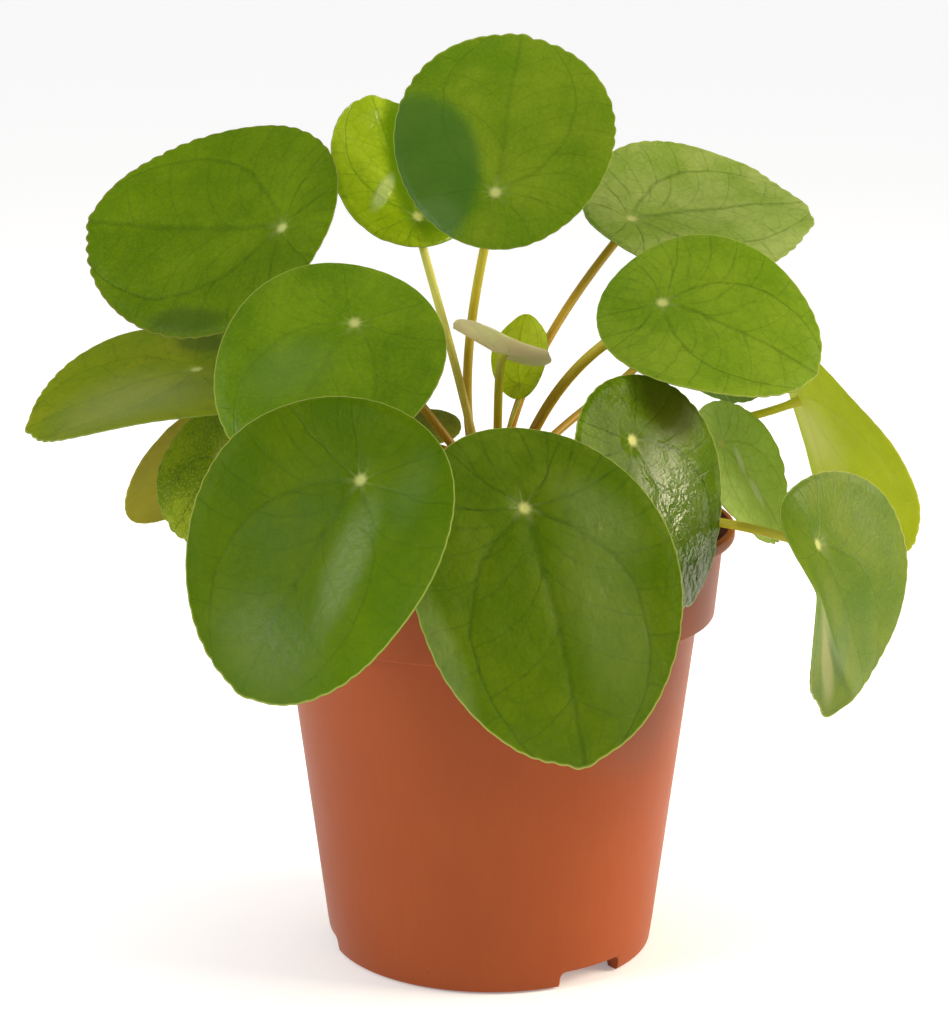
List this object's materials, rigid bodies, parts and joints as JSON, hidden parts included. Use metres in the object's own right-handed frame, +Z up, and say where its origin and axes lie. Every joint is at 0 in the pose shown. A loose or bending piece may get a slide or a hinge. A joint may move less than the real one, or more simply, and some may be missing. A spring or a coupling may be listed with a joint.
{
  "type": "potted chinese money plant",
  "caption": "Bushy house plant with round coin-shaped leaves held near their middles on long arching stalks, rooted in soil in a tapered plastic nursery pot.",
  "frame": {"origin": "centre of the pot's underside, on the plane that the pot stands on", "axes": "+Z up along the pot's axis, +X to the right in the picture, -Y towards the picture's camera"},
  "size_m": [0.2252, 0.205, 0.2251],
  "materials": {
    "pot_plastic": "terracotta-coloured injection-moulded plastic with a soft satin sheen",
    "potting_soil": "dark brown crumbly peat and bark, matt",
    "trunk_bark": "brown corky bark with leaf scars, matt",
    "petiole_green": "smooth fleshy olive-green to reddish-brown leaf stalk, satin",
    "leaf_01": "fleshy green leaf, smooth and glossy above, matt and paler below",
    "leaf_02": "fleshy green leaf, smooth and glossy above, matt and paler below",
    "leaf_03": "fleshy green leaf, smooth and glossy above, matt and paler below",
    "leaf_04": "fleshy green leaf, smooth and glossy above, matt and paler below",
    "leaf_05": "fleshy green leaf, smooth and glossy above, matt and paler below",
    "leaf_06": "fleshy green leaf, smooth and glossy above, matt and paler below",
    "leaf_07": "fleshy green leaf, smooth and glossy above, matt and paler below",
    "leaf_08": "fleshy green leaf, smooth and glossy above, matt and paler below",
    "leaf_09": "fleshy green leaf, smooth and glossy above, matt and paler below",
    "leaf_10": "fleshy green leaf, smooth and glossy above, matt and paler below",
    "leaf_11": "fleshy green leaf, smooth and glossy above, matt and paler below",
    "leaf_12": "fleshy green leaf, smooth and glossy above, matt and paler below",
    "leaf_13": "fleshy green leaf, smooth and glossy above, matt and paler below",
    "leaf_14": "fleshy green leaf, smooth and glossy above, matt and paler below",
    "leaf_15": "fleshy green leaf, smooth and glossy above, matt and paler below",
    "leaf_16": "fleshy green leaf, smooth and glossy above, matt and paler below",
    "leaf_17": "fleshy green leaf, smooth and glossy above, matt and paler below",
    "leaf_18": "fleshy green leaf, smooth and glossy above, matt and paler below",
    "leaf_19": "fleshy green leaf, smooth and glossy above, matt and paler below",
    "leaf_20": "fleshy green leaf, smooth and glossy above, matt and paler below",
    "leaf_21": "fleshy green leaf, smooth and glossy above, matt and paler below",
    "leaf_22": "fleshy green leaf, smooth and glossy above, matt and paler below",
    "leaf_23": "fleshy green leaf, smooth and glossy above, matt and paler below"
  },
  "bodies": {
    "root": {"pot": "pot_plastic", "soil": "potting_soil", "trunk": "trunk_bark", "petiole_01": "petiole_green", "leaf_01": "leaf_01", "petiole_02": "petiole_green", "leaf_02": "leaf_02", "petiole_03": "petiole_green", "leaf_03": "leaf_03", "petiole_04": "petiole_green", "leaf_04": "leaf_04", "petiole_05": "petiole_green", "leaf_05": "leaf_05", "petiole_06": "petiole_green", "leaf_06": "leaf_06", "petiole_07": "petiole_green", "leaf_07": "leaf_07", "petiole_08": "petiole_green", "leaf_08": "leaf_08", "petiole_09": "petiole_green", "leaf_09": "leaf_09", "petiole_10": "petiole_green", "leaf_10": "leaf_10", "petiole_11": "petiole_green", "leaf_11": "leaf_11", "petiole_12": "petiole_green", "leaf_12": "leaf_12", "petiole_13": "petiole_green", "leaf_13": "leaf_13", "petiole_14": "petiole_green", "leaf_14": "leaf_14", "petiole_15": "petiole_green", "leaf_15": "leaf_15", "petiole_16": "petiole_green", "leaf_16": "leaf_16", "petiole_17": "petiole_green", "leaf_17": "leaf_17", "petiole_18": "petiole_green", "leaf_18": "leaf_18", "petiole_19": "petiole_green", "leaf_19": "leaf_19", "petiole_20": "petiole_green", "leaf_20": "leaf_20", "petiole_21": "petiole_green", "leaf_21": "leaf_21", "petiole_22": "petiole_green", "leaf_22": "leaf_22", "petiole_23": "petiole_green", "leaf_23": "leaf_23"}
  },
  "joints": []
}
